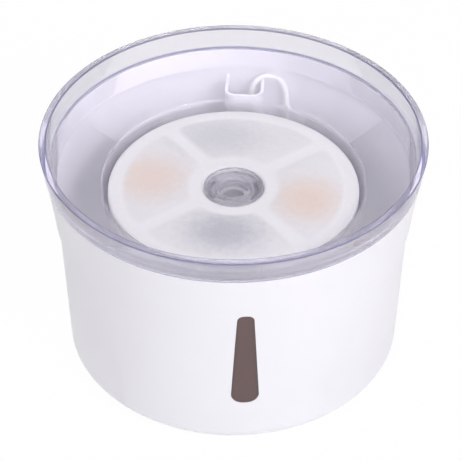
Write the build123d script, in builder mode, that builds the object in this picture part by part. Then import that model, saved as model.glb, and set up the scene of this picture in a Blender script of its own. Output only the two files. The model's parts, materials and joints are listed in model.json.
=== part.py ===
from build123d import *
from math import asin, atan, cos, degrees, hypot, pi, radians, sin, tan
import os

os.makedirs("parts", exist_ok=True)

# Pet water fountain, in millimetres. +Z is up. The origin is on the table, under the
# middle of the bowl. The water window looks to the front (-Y), the hand grips are on the
# left and right (-X and +X), and the cable leaves at the back (+Y).

# ---------------------------------------------------------------- driving dimensions
# Tank: a flared collar above an almost straight wall
collar_radius = 98.0
collar_height = 120.5
collar_edge = 0.6
waist_radius = 93.6
waist_height = 88.0
flare_blend_run = 25.5
flare_blend_share = 0.9
base_radius = 91.7
base_corner = 9.2
wall = 2.2
floor_thickness = 2.5
inner_corner = 3.0
foot_proud = 1.0
base_recess = 3.0
base_ring_width = 28.0

# Hand grips: shallow arches pressed into both sides of the tank, up to the waist. Their sides
# are upright at first, and then lean in along an arc
grip_depth_low = 0.9
grip_depth_high = 0.8
grip_half_width = 75.6
grip_straight = 20.0
grip_side_radius = 190.0
grip_shoulder = 12.0

# Cable conduit inside the back wall of the tank, and its way out under the base
conduit_half_width = 10.8
conduit_wall = 1.6
conduit_corner = 6.0
conduit_to_well = 4.7
conduit_under_tray = 0.5
slot_depth = 10.8
notch_offset = 4.0
notch_width = 5.4
notch_height = 6.2

# Foot pads
pad_count = 4
pad_start_angle = 45.0
pad_radius = 6.0
pad_pocket = 1.0
pad_gap = 0.05

# Water window and its seal
window_angle = 8.0
window_low = 32.5
window_length = 62.0
window_width_low = 13.5
window_width_high = 6.9
window_corner_low = 5.4
window_corner_high = 2.7
window_sunk = 0.15
window_flange = 2.4
window_flange_thickness = 1.2
seal_thickness = 0.7
seal_gap = 0.04

# Clear drinking tray: a band above the collar, a sloping trough and a well
band_height = 13.5
band_flare = 2.0
band_overhang = 0.2
rim_wall = 3.8
rim_edge = 1.3
nest_clearance = 0.3
trough_drop = 9.7
trough_wall = 2.5
trough_fall = 5.6
well_flare = 2.6
well_depth = 11.2
well_clearance = 0.5
tray_wall = 2.2
tray_blend = 1.6
socket_wall = 3.0
socket_drop = 6.0
drain_width = 2.5
outer_drain_radius = 54.0
outer_drain_length = 16.0
outer_drain_count = 16
inner_drain_radius = 32.0
inner_drain_length = 10.0
inner_drain_count = 12

# Filter disc: two fleeces welded round four fillings
filter_radius = 66.2
filter_hole = 16.4
filter_thickness = 5.6
filter_turn = -4.6
filter_rest_gap = 0.2
fleece_thickness = 0.8
weld_rim = 7.0
weld_hub = 6.6
spoke_width = 5.0
fill_gap = 0.1

# Water outlet hub, locked to the tray by two lugs: a rim, a sunk floor and a nozzle, each a
# little below the filter's top
hub_rim_sunk = 0.2
hub_nozzle_sunk = 0.9
hub_floor_sunk = 2.4
hub_floor_thickness = 1.6
hub_bore = 7.8
hub_shoulder = 0.7
hub_shoulder_sunk = 4.5
hub_tube_wall = 1.5
hub_gap = 0.5
hub_skirt_wall = 1.3
hub_edge = 0.6
hub_blend = 0.4
hub_slot_radius = 12.6
hub_slot_width = 3.0
hub_slot_half_angle = 32.0
hub_mark_place = 11.6
hub_mark_radius = 0.8
hub_mark_rise = 0.3
lug_reach = 1.6
lug_height = 1.4
lug_half_angle = 12.0
lug_gap = 0.2
lug_slot_play = 0.4
lug_slot_angle_play = 3.0
unlock_angle = 30.0
turning_gap = 0.05

# Pump rotor: a magnet and an impeller on a fixed shaft, inside a can
shaft_radius = 1.0
shaft_gap = 0.06
bush_gap = 0.02
front_bush_radius = 2.0
rear_bush_radius = 3.0
rear_bush_length = 2.6
bush_holder_wall = 1.3
magnet_radius = 6.1
magnet_length = 16.4
magnet_to_chamber = 2.6
can_gap = 0.5
can_wall = 1.2
can_length = 25.5
can_end_wall = 2.0
impeller_radius = 11.2
impeller_blades = 6
blade_thickness = 1.1
impeller_plate = 1.2
impeller_sleeve = 3.4
impeller_front_gap = 0.9
impeller_back_gap = 0.7
chamber_gap = 1.8
chamber_depth = 11.0

# Pump stator: a U-shaped core with one coil on its yoke, under the can
core_half_width = 14.6
core_length = 14.0
core_rise = 6.5
core_front_gap = 0.5
core_side_gap = 2.6
yoke_height = 4.6
pole_gap = 0.2
pole_half_opening = 4.0
coil_build = 2.0
coil_gap = 0.15
coil_half_length = 7.8
coil_under_can = 0.8
coil_above_floor = 0.2

# Pump driver board, on ledges above the can
board_above_can = 2.8
board_thickness = 1.6
board_length = 23.0
board_to_chamber = 4.6
board_side_gap = 0.2
board_ledge = 1.5
board_ledge_height = 1.2
chip_size = 4.0
chip_height = 1.2
chip_spacing = 9.0
chip_under_roof = 1.8

# Pump housing and covers
pump_wall = 1.8
pump_corner = 6.0
motor_length = 30.5
back_cover_thickness = 2.2
cover_thickness = 2.4
cover_rim = 1.9
intake_radius = 6.0
intake_spokes = 3
spoke_bar = 1.6
spout_radius = 6.0
spout_bore = 4.6
spout_height = 14.0

# Intake cover, sponge and flow dial
intake_cover_depth = 10.0
intake_cover_wall = 1.6
grille_slot = 2.0
grille_slot_length = 20.0
grille_slots = 2
sponge_gap = 0.3
sponge_back_gap = 1.6
dial_radius = 10.0
dial_thickness = 1.6
dial_gap = 0.2
dial_window_radius = 6.2
dial_window_width = 4.4
dial_window_half_angle = 32.0
dial_lever = 3.5
dial_pin_radius = 1.8
dial_pin_head = 2.6
dial_pin_head_thickness = 0.9

# Riser
riser_clearance = 0.2
riser_overlap = 6.0
riser_fit = 0.05

# Suction cups
cup_height = 5.0
cup_radius = 8.0
cup_lip = 1.0
cup_neck_radius = 3.4
cup_stem_radius = 2.3
cup_boss_radius = 4.6
cup_boss_height = 2.4
cup_fit = 0.05
cup_hollow = 0.8
cup_spread = 12.0
cup_row_front = 1.0
cup_row_spacing = 27.0

# Cable, coil and plug
cord_radius = 1.4
cord_arc_share = 0.45
gland_rise = 8.5
gland_radius = 4.2
gland_tip_radius = 2.4
gland_length = 12.0
coil_centre_x = -11.0
coil_centre_y = 138.0
coil_mean_radius = 16.2
coil_columns = 3
coil_layers = 4
coil_edge = 1.2
tie_thickness = 0.8
tie_width = 5.0
tie_gap = 0.1
tie_angle = 90.0
plug_start_x = -50.0
plug_start_y = 107.5
relief_mouth_radius = 1.8
relief_radius = 2.6
relief_length = 8.0
plug_length = 22.0
plug_width = 15.0
plug_height = 7.4
plug_corner = 2.4
shell_length = 18.7
shell_width = 12.0
shell_height = 4.5
shell_wall = 0.3
tongue_thickness = 1.8
tongue_gap = 0.15
tongue_short = 0.5

# ---------------------------------------------------------------- derived sizes
past_wall = 1.5 * collar_radius

# Tank
recess_top = foot_proud + base_recess
tank_floor = recess_top + floor_thickness
base_ring_inner = base_radius - base_ring_width
pad_circle = base_radius - base_ring_width / 2 - base_corner / 2
collar_inner = collar_radius - wall
wall_slope = (collar_radius - waist_radius) / (collar_height - waist_height)
lower_slope = (waist_radius - base_radius) / (waist_height - foot_proud)
flare_length = hypot(collar_radius - waist_radius, collar_height - waist_height)
flare_half_turn = abs(atan(wall_slope) - atan(lower_slope)) / 2
flare_blend = min(flare_blend_run, flare_blend_share * flare_length) / tan(flare_half_turn)
floor_radius = base_radius - wall + lower_slope * (tank_floor - foot_proud)
window_high = window_low + window_length

# Tray
total_height = collar_height + band_height
rim_radius = collar_radius + band_flare
nest_radius = collar_inner - nest_clearance
nest_bottom_radius = nest_radius - wall_slope * trough_drop
trough_radius = nest_bottom_radius - trough_wall
trough_height = collar_height - trough_drop
well_radius = filter_radius + well_clearance
well_outer = well_radius + tray_wall
well_edge_radius = well_radius + well_flare
well_edge_height = trough_height - trough_fall
well_floor = well_edge_height - well_depth
trough_slope = trough_fall / (trough_radius - well_edge_radius)
under_well_edge = well_edge_height - tray_wall - trough_slope * (well_edge_radius - well_outer)
under_trough = trough_height - tray_wall + trough_slope * (nest_bottom_radius - trough_radius)
conduit_front = well_outer + conduit_to_well
conduit_rim = under_well_edge + trough_slope * conduit_to_well - conduit_under_tray
conduit_half_bore = conduit_half_width - conduit_wall
conduit_bore_front = conduit_front + conduit_wall

# Filter and hub
filter_bottom = well_floor + filter_rest_gap
filter_top = filter_bottom + filter_thickness
fill_inner = filter_hole + weld_hub
fill_outer = filter_radius - weld_rim
fill_low = filter_bottom + fleece_thickness
fill_high = filter_top - fleece_thickness
hub_socket_radius = hub_bore + hub_shoulder
hub_tube_radius = hub_socket_radius + hub_tube_wall
hub_radius = filter_hole - hub_gap
hub_skirt_inner = hub_radius - hub_skirt_wall
hub_rim = filter_top - hub_rim_sunk
hub_nozzle = filter_top - hub_nozzle_sunk
hub_floor = filter_top - hub_floor_sunk
hub_floor_low = hub_floor - hub_floor_thickness
hub_shoulder_height = filter_top - hub_shoulder_sunk
socket_radius = hub_tube_radius + turning_gap
socket_outer = socket_radius + socket_wall
socket_bottom = well_floor - socket_drop
lug_top = socket_bottom - lug_gap
hub_bottom = lug_top - lug_height
riser_radius = hub_socket_radius - riser_clearance

# Pump across its axis, upwards from the tank's floor
can_bore = magnet_radius + can_gap
can_radius = can_bore + can_wall
pole_radius = can_radius + pole_gap
pump_bottom = tank_floor + cup_height
coil_low_side = pump_bottom + pump_wall + coil_above_floor
yoke_low = coil_low_side + coil_build + coil_gap
yoke_top = yoke_low + yoke_height
pump_axis_height = yoke_top + coil_gap + coil_build + coil_under_can + can_radius
board_height = pump_axis_height + can_radius + board_above_can
pump_top = board_height + board_thickness + chip_height + chip_under_roof + pump_wall
pump_height = pump_top - pump_bottom
pump_middle = (pump_bottom + pump_top) / 2
cavity_half_width = core_half_width + core_side_gap
pump_half_width = cavity_half_width + pump_wall

# Pump along its axis, with the chamber under the riser
cover_back = -chamber_depth / 2
chamber_back = chamber_depth / 2
pump_front = cover_back - cover_thickness
pump_back = chamber_back + motor_length
cavity_front = chamber_back + pump_wall
can_end = chamber_back + can_length
can_floor = can_end - can_end_wall
bush_holder_front = can_floor - rear_bush_length
chamber_radius = impeller_radius + chamber_gap
cover_radius = chamber_radius + cover_rim
magnet_front = chamber_back + magnet_to_chamber
core_front = cavity_front + core_front_gap + coil_build + coil_gap
board_front = chamber_back + board_to_chamber
intake_front = pump_front - intake_cover_depth
dial_back = intake_front - dial_gap
dial_front = dial_back - dial_thickness
gland_height = pump_bottom + gland_rise
gland_tip = pump_back + back_cover_thickness + gland_length

# Coil
cord_size = 2 * cord_radius
coil_low = tie_thickness + tie_gap
coil_width = coil_columns * cord_size
coil_height = coil_layers * cord_size
coil_outer = coil_mean_radius + coil_width / 2


# ---------------------------------------------------------------- shared helpers
def facing_back(y):
    """A plane across the pump at y, with +Z up and its normal towards the back."""
    return Plane(origin=(0, y, 0), x_dir=(-1, 0, 0), z_dir=(0, 1, 0))


def on_axis(y):
    """The same plane, with its origin on the pump's axis."""
    return Plane(origin=(0, y, pump_axis_height), x_dir=(-1, 0, 0), z_dir=(0, 1, 0))


def disc(piece_radius, bore, low, high):
    """A washer or sleeve on the pump's axis, from y = low to y = high."""
    with BuildPart() as washer:
        with BuildSketch(on_axis(low)):
            Circle(piece_radius)
            if bore > 0:
                Circle(bore, mode=Mode.SUBTRACT)
        extrude(amount=high - low)
    return washer.part


def pump_block(inset, low, high):
    """The pump's rounded block, inset from its sides, from y = low to y = high."""
    with BuildPart() as block:
        with BuildSketch(facing_back(low)):
            with Locations((0, pump_middle)):
                width = 2 * (pump_half_width - inset)
                RectangleRounded(width, pump_height - 2 * inset, pump_corner - inset)
        extrude(amount=high - low)
    return block.part


def wall_solid(inset):
    """The space inside the tank's wall line, moved inwards by inset."""
    with BuildPart() as space:
        with BuildSketch(Plane.XZ):
            with BuildLine():
                FilletPolyline(
                    (0, foot_proud),
                    (base_radius - inset, foot_proud),
                    (waist_radius - inset, waist_height),
                    (collar_radius - inset, collar_height),
                    (0, collar_height),
                    radius=[0, flare_blend, 0],
                )
                Line((0, collar_height), (0, foot_proud))
            make_face()
        revolve(axis=Axis.Z)
    return space.part


def wall_layer(outer_inset, inner_inset):
    """The layer of the tank's wall between two insets."""
    return wall_solid(outer_inset) - wall_solid(inner_inset)


def window_prism(grow):
    """A prism through the wall with the window's outline, grown all round."""
    outward = (sin(radians(window_angle)), -cos(radians(window_angle)), 0)
    sideways = (cos(radians(window_angle)), sin(radians(window_angle)), 0)
    half_low = window_width_low / 2
    half_high = window_width_high / 2
    with BuildPart() as prism:
        with BuildSketch(Plane(origin=(0, 0, 0), x_dir=sideways, z_dir=outward)):
            with BuildLine():
                FilletPolyline(
                    (-half_low, window_low),
                    (half_low, window_low),
                    (half_high, window_high),
                    (-half_high, window_high),
                    close=True,
                    radius=[
                        window_corner_low,
                        window_corner_low,
                        window_corner_high,
                        window_corner_high,
                    ],
                )
            make_face()
            if grow > 0:
                offset(amount=grow, kind=Kind.ARC)
        extrude(amount=past_wall)
    return prism.part


def arc_window(radius, width, half_angle, middles, thickness, plane):
    """Rounded arc-shaped windows on a ring, one at each middle angle, as a solid."""
    with BuildPart() as windows:
        with BuildSketch(plane):
            for middle in middles:
                start = middle - half_angle
                arc = CenterArc((0, 0), radius, start, 2 * half_angle, mode=Mode.PRIVATE)
                SlotArc(arc, width)
        extrude(amount=thickness)
    return windows.part


def save(piece, name):
    """Label a finished piece and write it as its own STEP file."""
    piece.part.label = name
    export_step(piece.part, f"parts/{name}.step")


# ---------------------------------------------------------------- tank body
with BuildPart() as grip_recess:
    with BuildSketch(Plane.XZ):
        with BuildLine():
            Polyline(
                (base_radius - grip_depth_low, foot_proud),
                (waist_radius - grip_depth_high, waist_height),
                (past_wall, waist_height),
                (past_wall, foot_proud),
                close=True,
            )
        make_face()
    revolve(axis=Axis.Z)
    with BuildSketch(Plane.YZ) as grip_outline:
        with BuildLine():
            side_middle = (grip_half_width - grip_side_radius, grip_straight)
            side_turn = degrees(asin((waist_height - grip_straight) / grip_side_radius))
            side = CenterArc(side_middle, grip_side_radius, 0, side_turn)
            Line((grip_half_width, 0), side @ 0)
            mirror(about=Plane.YZ)
            Line((-grip_half_width, 0), (grip_half_width, 0))
            Line(side @ 1, (-(side @ 1).X, waist_height))
        make_face()
        fillet(grip_outline.vertices().group_by(Axis.Y)[-1], grip_shoulder)
    extrude(amount=past_wall, both=True, mode=Mode.INTERSECT)

with BuildPart() as conduit:
    with BuildSketch(Plane.XY.offset(tank_floor - floor_thickness / 2)):
        with BuildLine():
            FilletPolyline(
                (-conduit_half_width, collar_radius),
                (-conduit_half_width, conduit_front),
                (conduit_half_width, conduit_front),
                (conduit_half_width, collar_radius),
                radius=[conduit_corner, conduit_corner],
            )
            Line((conduit_half_width, collar_radius), (-conduit_half_width, collar_radius))
        make_face()
        offset(amount=-conduit_wall, kind=Kind.ARC, mode=Mode.SUBTRACT)
    extrude(amount=conduit_rim - tank_floor + floor_thickness / 2)
    add(wall_solid(wall / 2), mode=Mode.INTERSECT)

with BuildPart() as tank_body:
    with BuildSketch(Plane.XZ):
        with BuildLine():
            FilletPolyline(
                (0, recess_top),
                (base_ring_inner, recess_top),
                (base_ring_inner, foot_proud),
                (base_radius, foot_proud),
                (waist_radius, waist_height),
                (collar_radius, collar_height),
                (collar_inner, collar_height),
                (waist_radius - wall, waist_height),
                (floor_radius, tank_floor),
                (0, tank_floor),
                radius=[0, 0, base_corner, flare_blend, 0, 0, flare_blend, inner_corner],
            )
            Line((0, tank_floor), (0, recess_top))
        make_face()
    revolve(axis=Axis.Z)
    fillet(tank_body.edges().filter_by(GeomType.CIRCLE).group_by(Axis.Z)[-1], collar_edge)
    add(grip_recess.part, mode=Mode.SUBTRACT)
    add(conduit.part)
    with BuildSketch(Plane.XY):
        with Locations((0, conduit_bore_front)):
            Rectangle(2 * conduit_half_bore, slot_depth, align=(Align.CENTER, Align.MIN))
    extrude(amount=tank_floor + wall, mode=Mode.SUBTRACT)
    with BuildSketch(facing_back(conduit_bore_front)):
        with Locations((-notch_offset, 0)):
            SlotCenterToCenter(2 * notch_height - notch_width, notch_width, rotation=90)
    extrude(amount=base_ring_width, mode=Mode.SUBTRACT)
    with BuildSketch(Plane.XY):
        with PolarLocations(pad_circle, pad_count, pad_start_angle):
            Circle(pad_radius + pad_gap)
    extrude(amount=foot_proud + pad_pocket, mode=Mode.SUBTRACT)
    add(window_prism(seal_thickness), mode=Mode.SUBTRACT)
save(tank_body, "tank_body")

# ---------------------------------------------------------------- foot pads
for number, place in enumerate(PolarLocations(pad_circle, pad_count, pad_start_angle), start=1):
    with BuildPart() as foot_pad:
        with BuildSketch(Plane.XY):
            with Locations((place.position.X, place.position.Y)):
                Circle(pad_radius)
        extrude(amount=foot_proud + pad_pocket)
    save(foot_pad, f"foot_pad_{number}")

# ---------------------------------------------------------------- water window and its seal
flange_outer = wall + seal_thickness + seal_gap
flange_inner = flange_outer + window_flange_thickness
flange_plate = window_prism(window_flange) & wall_layer(flange_outer, flange_inner)
seal_sleeve = window_prism(seal_thickness - seal_gap) & wall_layer(window_sunk, wall + seal_thickness)
seal_washer = window_prism(window_flange) & wall_layer(wall + seal_gap, wall + seal_thickness)

with BuildPart() as level_window:
    add(window_prism(0))
    add(wall_layer(window_sunk, flange_inner), mode=Mode.INTERSECT)
    add(flange_plate)
save(level_window, "level_window")

with BuildPart() as window_seal:
    add(seal_sleeve)
    add(seal_washer)
    add(window_prism(seal_gap), mode=Mode.SUBTRACT)
save(window_seal, "window_seal")

# ---------------------------------------------------------------- drinking tray
with BuildPart() as drinking_tray:
    with BuildSketch(Plane.XZ):
        with BuildLine():
            FilletPolyline(
                (0, well_floor - tray_wall),
                (well_outer, well_floor - tray_wall),
                (well_outer, under_well_edge),
                (nest_bottom_radius, under_trough),
                (nest_radius, collar_height),
                (collar_radius + band_overhang, collar_height),
                (rim_radius, total_height),
                (rim_radius - rim_wall, total_height),
                (trough_radius, trough_height),
                (well_edge_radius, well_edge_height),
                (well_radius, well_floor),
                (0, well_floor),
                radius=[
                    tray_blend,
                    tray_blend,
                    tray_blend,
                    0,
                    0,
                    rim_edge,
                    rim_edge,
                    tray_blend,
                    tray_blend,
                    tray_blend,
                ],
            )
            Line((0, well_floor), (0, well_floor - tray_wall))
        make_face()
    revolve(axis=Axis.Z)
    with BuildSketch(Plane.XY.offset(socket_bottom)):
        Circle(socket_outer)
    extrude(amount=socket_drop)
    with BuildSketch(Plane.XY.offset(socket_bottom)):
        Circle(socket_radius)
    extrude(amount=socket_drop, mode=Mode.SUBTRACT)
    add(
        arc_window(
            hub_tube_radius + lug_reach / 2,
            lug_reach + 2 * lug_slot_play,
            lug_half_angle + lug_slot_angle_play,
            (unlock_angle, unlock_angle + 180),
            socket_drop,
            Plane.XY.offset(socket_bottom),
        ),
        mode=Mode.SUBTRACT,
    )
    with BuildSketch(Plane.XY.offset(well_floor - tray_wall)):
        with PolarLocations(outer_drain_radius, outer_drain_count):
            SlotOverall(outer_drain_length, drain_width)
        with PolarLocations(inner_drain_radius, inner_drain_count):
            SlotOverall(inner_drain_length, drain_width)
    extrude(amount=tray_wall, mode=Mode.SUBTRACT)
save(drinking_tray, "drinking_tray")

# ---------------------------------------------------------------- water outlet hub
with BuildPart() as outlet_hub:
    with BuildSketch(Plane.XZ):
        with BuildLine():
            FilletPolyline(
                (hub_bore, hub_shoulder_height),
                (hub_socket_radius, hub_shoulder_height),
                (hub_socket_radius, hub_bottom),
                (hub_tube_radius, hub_bottom),
                (hub_tube_radius, hub_floor_low),
                (hub_skirt_inner, hub_floor_low),
                (hub_skirt_inner, well_floor),
                (hub_radius, well_floor),
                (hub_radius, hub_rim),
                (hub_skirt_inner, hub_rim),
                (hub_skirt_inner, hub_floor),
                (hub_tube_radius, hub_floor),
                (hub_tube_radius, hub_nozzle),
                (hub_bore, hub_nozzle),
                close=True,
                radius=[0] * 8 + [hub_edge] * 2 + [hub_blend] * 2 + [hub_edge] * 2,
            )
        make_face()
    revolve(axis=Axis.Z)
    with BuildSketch(Plane.XY.offset(hub_bottom)):
        with Locations(Rotation(0, 0, -lug_half_angle), Rotation(0, 0, 180 - lug_half_angle)):
            with BuildLine():
                lug_middle = (hub_socket_radius + hub_tube_radius) / 2
                lug_outer = CenterArc((0, 0), hub_tube_radius + lug_reach, 0, 2 * lug_half_angle)
                lug_inner = CenterArc((0, 0), lug_middle, 0, 2 * lug_half_angle)
                Line(lug_outer @ 0, lug_inner @ 0)
                Line(lug_outer @ 1, lug_inner @ 1)
            make_face()
    extrude(amount=lug_height)
    add(
        arc_window(
            hub_slot_radius,
            hub_slot_width,
            hub_slot_half_angle,
            (0, 180),
            hub_floor_thickness,
            Plane.XY.offset(hub_floor_low),
        ),
        mode=Mode.SUBTRACT,
    )
    with BuildSketch(Plane.XY.offset(hub_floor)):
        with Locations((0, hub_mark_place)):
            Circle(hub_mark_radius)
    extrude(amount=hub_mark_rise)
save(outlet_hub, "outlet_hub")

# ---------------------------------------------------------------- filter disc
def fill_sector(gap, low, high, quarter):
    """A quarter of the filling, kept gap away from its pocket's walls."""
    half = spoke_width / 2 + gap
    with BuildPart() as sector:
        with BuildSketch(Plane.XY.offset(low)):
            Circle(fill_outer - gap)
            Circle(fill_inner + gap, mode=Mode.SUBTRACT)
            side = 2 * filter_radius
            with Locations(Rotation(0, 0, filter_turn - 135 + 90 * quarter)):
                with Locations((half, half)):
                    Rectangle(side, side, align=(Align.MIN, Align.MIN), mode=Mode.INTERSECT)
        extrude(amount=high - low)
    return sector.part


with BuildPart() as filter_top_fleece:
    with BuildSketch(Plane.XY.offset(fill_low)):
        Circle(filter_radius)
        Circle(filter_hole, mode=Mode.SUBTRACT)
    extrude(amount=filter_top - fill_low)
    for quarter in range(4):
        add(fill_sector(0, fill_low, fill_high, quarter), mode=Mode.SUBTRACT)
save(filter_top_fleece, "filter_top_fleece")

with BuildPart() as filter_bottom_fleece:
    with BuildSketch(Plane.XY.offset(filter_bottom)):
        Circle(filter_radius)
        Circle(filter_hole, mode=Mode.SUBTRACT)
    extrude(amount=fleece_thickness)
save(filter_bottom_fleece, "filter_bottom_fleece")

fill_names = ("carbon_fill_front", "resin_fill_right", "carbon_fill_back", "resin_fill_left")
for quarter, fill_name in enumerate(fill_names):
    with BuildPart() as filter_fill:
        add(fill_sector(fill_gap, fill_low, fill_high - fill_gap, quarter))
    save(filter_fill, fill_name)

# ---------------------------------------------------------------- pump housing and covers
cup_rows = (cup_row_front, cup_row_front + cup_row_spacing)
cup_places = [(x, y) for y in cup_rows for x in (-cup_spread, cup_spread)]

with BuildPart() as pump_housing:
    add(pump_block(0, pump_front, pump_back))
    add(pump_block(pump_wall, cavity_front, pump_back), mode=Mode.SUBTRACT)
    add(disc(can_radius, 0, cavity_front, can_end))
    add(disc(cover_radius, 0, pump_front, cover_back), mode=Mode.SUBTRACT)
    add(disc(chamber_radius, 0, cover_back, chamber_back), mode=Mode.SUBTRACT)
    add(disc(can_bore, 0, chamber_back, can_floor), mode=Mode.SUBTRACT)
    bush_seat = rear_bush_radius + bush_gap
    add(disc(bush_seat + bush_holder_wall, bush_seat, bush_holder_front, can_floor))
    with BuildSketch(Plane.XY.offset(pump_top - pump_wall)):
        Circle(spout_radius)
    extrude(amount=spout_height + pump_wall)
    with BuildSketch(Plane.XY.offset(pump_axis_height)):
        Circle(spout_bore)
    extrude(amount=pump_top + spout_height - pump_axis_height, mode=Mode.SUBTRACT)
    with BuildSketch(Plane.XY.offset(board_height - board_ledge_height)):
        for side in (-1, 1):
            with Locations((side * (cavity_half_width - board_ledge / 2), board_front)):
                Rectangle(board_ledge, board_length, align=(Align.CENTER, Align.MIN))
    extrude(amount=board_ledge_height)
    with BuildSketch(Plane.XY.offset(pump_bottom - cup_boss_height)):
        with Locations(cup_places):
            Circle(cup_boss_radius)
            Circle(cup_stem_radius + cup_fit, mode=Mode.SUBTRACT)
    extrude(amount=cup_boss_height)
save(pump_housing, "pump_housing")

with BuildPart() as impeller_cover:
    add(disc(cover_radius - bush_gap, intake_radius, pump_front, cover_back))
    seat = front_bush_radius + bush_gap
    add(disc(seat + bush_holder_wall, 0, pump_front, cover_back))
    with BuildSketch(on_axis(pump_front)):
        with PolarLocations(0, intake_spokes):
            Rectangle(intake_radius + cover_rim, spoke_bar, align=(Align.MIN, Align.CENTER))
    extrude(amount=cover_thickness)
    add(disc(seat, 0, pump_front, cover_back), mode=Mode.SUBTRACT)
save(impeller_cover, "impeller_cover")

with BuildPart() as motor_back_cover:
    add(pump_block(0, pump_back, pump_back + back_cover_thickness))
save(motor_back_cover, "motor_back_cover")

# ---------------------------------------------------------------- intake cover, sponge, dial
dial_windows = (0, 180)

with BuildPart() as intake_cover:
    add(pump_block(0, intake_front, pump_front))
    add(pump_block(intake_cover_wall, intake_front + intake_cover_wall, pump_front), mode=Mode.SUBTRACT)
    add(
        arc_window(
            dial_window_radius,
            dial_window_width,
            dial_window_half_angle,
            dial_windows,
            intake_cover_wall,
            on_axis(intake_front),
        ),
        mode=Mode.SUBTRACT,
    )
    slot_middle = (intake_front + intake_cover_wall + pump_front) / 2
    with BuildSketch(Plane.YZ):
        with Locations((slot_middle, pump_middle)):
            with GridLocations(2 * grille_slot, 0, grille_slots, 1):
                SlotOverall(grille_slot_length, grille_slot, rotation=90)
    extrude(amount=past_wall, both=True, mode=Mode.SUBTRACT)
    add(disc(dial_pin_radius, 0, dial_front - dial_gap, intake_front + intake_cover_wall))
    add(disc(dial_pin_head, 0, dial_front - dial_gap - dial_pin_head_thickness, dial_front - dial_gap))
save(intake_cover, "intake_cover")

with BuildPart() as intake_sponge:
    sponge_front = intake_front + intake_cover_wall + sponge_gap
    add(pump_block(intake_cover_wall + sponge_gap, sponge_front, pump_front - sponge_back_gap))
save(intake_sponge, "intake_sponge")

with BuildPart() as flow_dial:
    with BuildSketch(on_axis(dial_front)):
        Circle(dial_radius)
        with Locations((0, dial_radius)):
            SlotOverall(2 * dial_lever, dial_lever, rotation=90)
        Circle(dial_pin_radius + turning_gap, mode=Mode.SUBTRACT)
    extrude(amount=dial_thickness)
    add(
        arc_window(
            dial_window_radius,
            dial_window_width,
            dial_window_half_angle,
            dial_windows,
            dial_thickness,
            on_axis(dial_front),
        ),
        mode=Mode.SUBTRACT,
    )
save(flow_dial, "flow_dial")

# ---------------------------------------------------------------- rotor, shaft and bushes
impeller_front = cover_back + impeller_front_gap
impeller_back = chamber_back - impeller_back_gap

with BuildPart() as impeller_shaft:
    add(disc(shaft_radius, 0, pump_front + shaft_gap, can_floor - shaft_gap))
save(impeller_shaft, "impeller_shaft")

with BuildPart() as front_bush:
    add(disc(front_bush_radius, shaft_radius + bush_gap, pump_front, cover_back))
save(front_bush, "front_bush")

with BuildPart() as rear_bush:
    add(disc(rear_bush_radius, shaft_radius + bush_gap, bush_holder_front, can_floor))
save(rear_bush, "rear_bush")

with BuildPart() as rotor_magnet:
    add(disc(magnet_radius, shaft_radius + shaft_gap, magnet_front, magnet_front + magnet_length))
save(rotor_magnet, "rotor_magnet")

with BuildPart() as impeller:
    add(disc(impeller_sleeve, 0, impeller_front, magnet_front))
    add(disc(impeller_radius, 0, impeller_back - impeller_plate, impeller_back))
    with BuildSketch(on_axis(impeller_front)):
        with PolarLocations(0, impeller_blades):
            Rectangle(impeller_radius, blade_thickness, align=(Align.MIN, Align.CENTER))
        Circle(impeller_radius, mode=Mode.INTERSECT)
    extrude(amount=impeller_back - impeller_front)
    add(disc(shaft_radius + shaft_gap, 0, impeller_front, magnet_front), mode=Mode.SUBTRACT)
save(impeller, "impeller")

# ---------------------------------------------------------------- stator and driver board
with BuildPart() as stator_core:
    with BuildSketch(facing_back(core_front)):
        with Locations((0, yoke_low)):
            core_height = pump_axis_height + core_rise - yoke_low
            Rectangle(2 * core_half_width, core_height, align=(Align.CENTER, Align.MIN))
        with Locations((0, pump_axis_height)):
            Circle(pole_radius, mode=Mode.SUBTRACT)
            opening = (Align.CENTER, Align.MIN)
            Rectangle(2 * pole_half_opening, core_half_width, align=opening, mode=Mode.SUBTRACT)
        with Locations((0, yoke_top)):
            window_width = 2 * (coil_half_length + coil_gap)
            opening_height = pump_axis_height - yoke_top
            Rectangle(window_width, opening_height, align=opening, mode=Mode.SUBTRACT)
    extrude(amount=core_length)
save(stator_core, "stator_core")

with BuildPart() as stator_coil:
    with BuildSketch(Plane.YZ):
        with Locations((core_front + core_length / 2, (yoke_low + yoke_top) / 2)):
            hole_depth = core_length + 2 * coil_gap
            hole_height = yoke_height + 2 * coil_gap
            RectangleRounded(hole_depth + 2 * coil_build, hole_height + 2 * coil_build, coil_build)
            Rectangle(hole_depth, hole_height, mode=Mode.SUBTRACT)
    extrude(amount=coil_half_length, both=True)
save(stator_coil, "stator_coil")

with BuildPart() as driver_board:
    board_middle = board_front + board_length / 2
    with BuildSketch(Plane.XY.offset(board_height)):
        with Locations((0, board_middle)):
            Rectangle(2 * (cavity_half_width - board_side_gap), board_length)
    extrude(amount=board_thickness)
    with BuildSketch(Plane.XY.offset(board_height + board_thickness)):
        with Locations((0, board_middle)):
            with GridLocations(chip_spacing, chip_spacing, 3, 2):
                Rectangle(chip_size, chip_size)
    extrude(amount=chip_height)
save(driver_board, "driver_board")

# ---------------------------------------------------------------- riser and suction cups
with BuildPart() as riser_tube:
    with BuildSketch(Plane.XY.offset(pump_top)):
        Circle(riser_radius)
        Circle(spout_radius + riser_fit, mode=Mode.SUBTRACT)
    extrude(amount=hub_bottom + riser_overlap - pump_top)
save(riser_tube, "riser_tube")

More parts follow.
